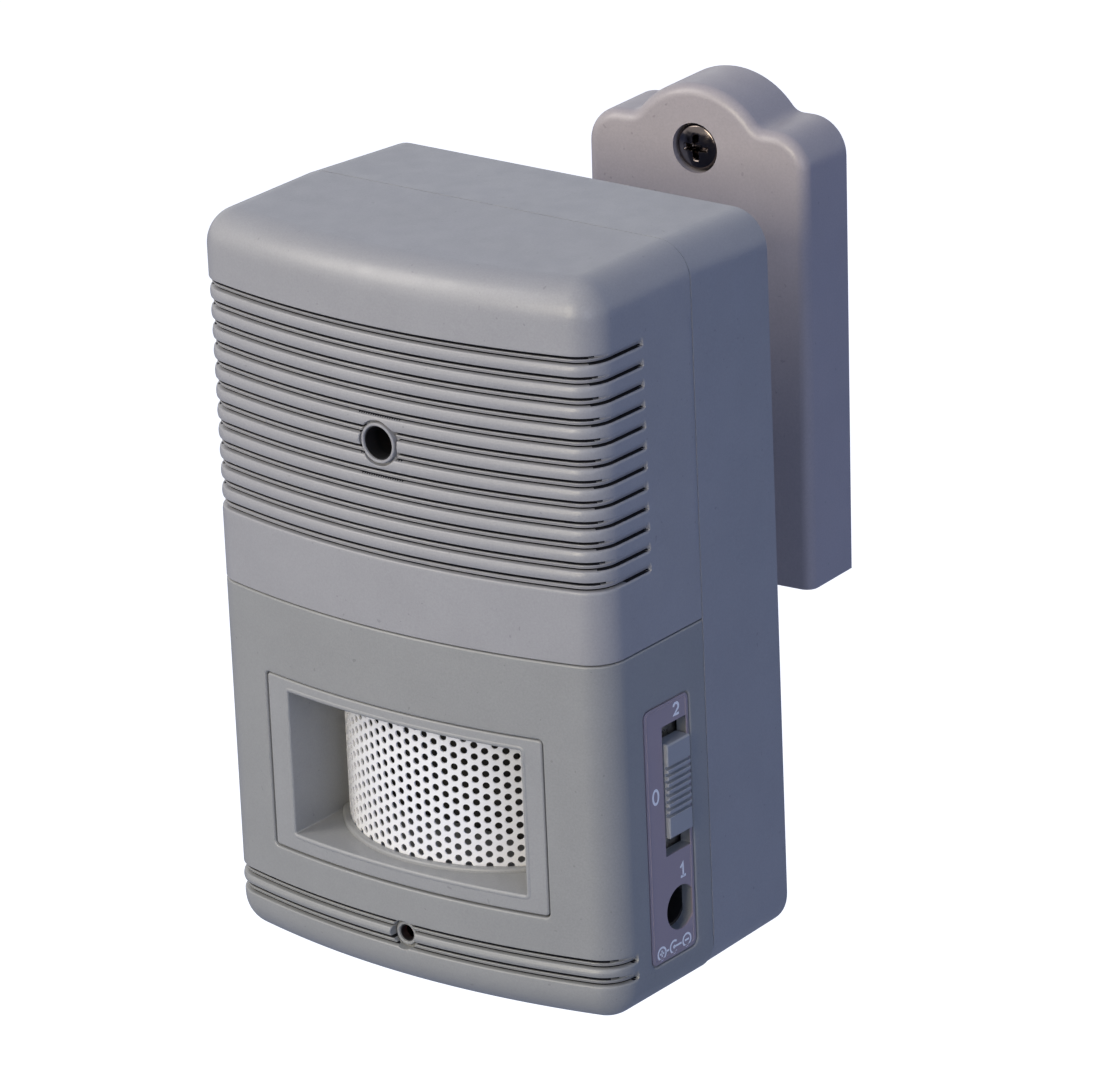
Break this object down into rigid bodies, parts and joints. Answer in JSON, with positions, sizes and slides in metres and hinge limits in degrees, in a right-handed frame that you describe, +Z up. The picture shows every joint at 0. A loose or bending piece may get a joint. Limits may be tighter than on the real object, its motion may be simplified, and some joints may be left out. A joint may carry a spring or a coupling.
{
  "type": "door_chime",
  "caption": "Grey ribbed motion sensor door chime with a curved sounder grille and side volume switch, on a wall plate with a swivel joint.",
  "frame": {"origin": "The middle of the wall plate's back face, on the wall's surface.", "axes": "+X to the right as seen by a viewer facing the object, +Y into the wall, +Z up."},
  "size_m": [0.0722, 0.1051, 0.1154],
  "materials": {
    "case_plastic": "moulded, fine even grain",
    "grille_paint": "near-white enamel on thin steel",
    "label_plastic": "printed film, slight grain",
    "black_plastic": "moulded",
    "bright_steel": "bright zinc plate",
    "plated_steel": "tin plate",
    "cell_ceramic": "clear lacquer",
    "lamp_lens": "tinted, polished",
    "foam": "open foam",
    "paper": "pressed paper",
    "magnet": "sintered ferrite",
    "circuit_board": "phenolic laminate",
    "can_sleeve": "shrink sleeve",
    "resistor_body": "lacquered",
    "cell_jacket": "plain foil jacket",
    "wire_insulation": "extruded"
  },
  "bodies": {
    "wall_mount": {"wall_plate": "case_plastic", "wall_screws": "bright_steel", "pan_screw": "bright_steel", "pan_nut": "bright_steel"},
    "knuckle": {"swivel_knuckle": "case_plastic"},
    "chime": {"tilt_screw": "bright_steel", "tilt_nut": "bright_steel", "rear_housing": "case_plastic", "foot_screws": "bright_steel", "pivot_bracket": "case_plastic", "upper_front_cover": "case_plastic", "lower_front_cover": "case_plastic", "window_tray": "case_plastic", "sounder_grille": "grille_paint", "control_label": "label_plastic", "case_screws": "bright_steel", "light_hood": "black_plastic", "photocell": "cell_ceramic", "indicator_lamp": "lamp_lens", "speaker_gasket": "foam", "speaker_frame": "plated_steel", "speaker_cone": "paper", "speaker_magnet": "magnet", "speaker_clamp_screws": "bright_steel", "main_board": "circuit_board", "board_screws": "bright_steel", "melody_chip": "black_plastic", "capacitors": "can_sleeve", "resistors": "resistor_body", "transistors": "black_plastic", "side_board": "circuit_board", "switch_body": "plated_steel", "dc_jack": "black_plastic", "dc_jack_pin": "bright_steel", "battery_tray": "black_plastic", "lower_cell": "cell_jacket", "upper_cell": "cell_jacket", "flat_contacts": "plated_steel", "spring_contacts": "plated_steel", "speaker_wires": "wire_insulation", "lamp_wires": "wire_insulation", "battery_wires": "wire_insulation", "switch_wires": "wire_insulation"},
    "volume_knob": {"switch_knob": "black_plastic"},
    "battery_hatch": {"battery_door": "case_plastic"}
  },
  "joints": [
    {"name": "pan_swivel", "type": "hinge", "parent": "wall_mount", "child": "knuckle", "pos_m": [0, -0.0226, -0.01475], "axis": [0, 0, 1], "range_deg": [-20.5, 29.4]},
    {"name": "tilt_swivel", "type": "hinge", "parent": "knuckle", "child": "chime", "pos_m": [-0.00086, -0.03357, -0.01475], "axis": [0.997, -0.0778, 0], "range_deg": [-13.3, 10.6]},
    {"name": "volume_slide", "type": "slide", "parent": "chime", "child": "volume_knob", "axis": [-0.0019, -0.0238, 0.9997], "range_m": [-0.0024, 0.0024]},
    {"name": "battery_door_slide", "type": "slide", "parent": "chime", "child": "battery_hatch", "axis": [0.0019, 0.0238, -0.9997], "range_m": [0, 0.04]}
  ]
}
